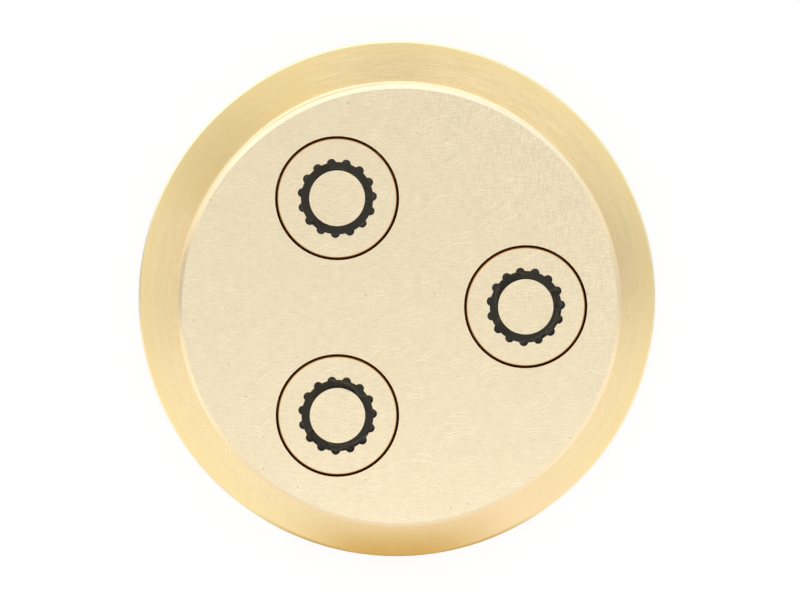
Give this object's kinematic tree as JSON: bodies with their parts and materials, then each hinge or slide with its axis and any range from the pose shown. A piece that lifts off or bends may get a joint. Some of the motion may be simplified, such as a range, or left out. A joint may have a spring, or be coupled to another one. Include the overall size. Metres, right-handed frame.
{
  "type": "pasta extrusion die",
  "caption": "Round brass pasta die with a flange and a raised boss; removable inserts with ridged ring outlets press short, hollow, curling ridged tubes.",
  "frame": {"origin": "centre of the rear face, where the dough enters and on which the die lies", "axes": "+Z from the rear face to the front face along the turned axis; the first insert is on +X"},
  "size_m": [0.078, 0.078, 0.018],
  "materials": {
    "body_brass": "pale brass, fine sanded front face, satin turned flange and sides",
    "sleeve_brass": "pale brass, front face sanded together with the body, dark inside the outlet",
    "core_brass": "pale brass, tip sanded together with the body, dark below the outlet"
  },
  "bodies": {
    "root": {"die_body": "body_brass", "insert_sleeve_1": "sleeve_brass", "insert_sleeve_2": "sleeve_brass", "insert_sleeve_3": "sleeve_brass", "core_pin_1": "core_brass", "core_pin_2": "core_brass", "core_pin_3": "core_brass"}
  },
  "joints": []
}
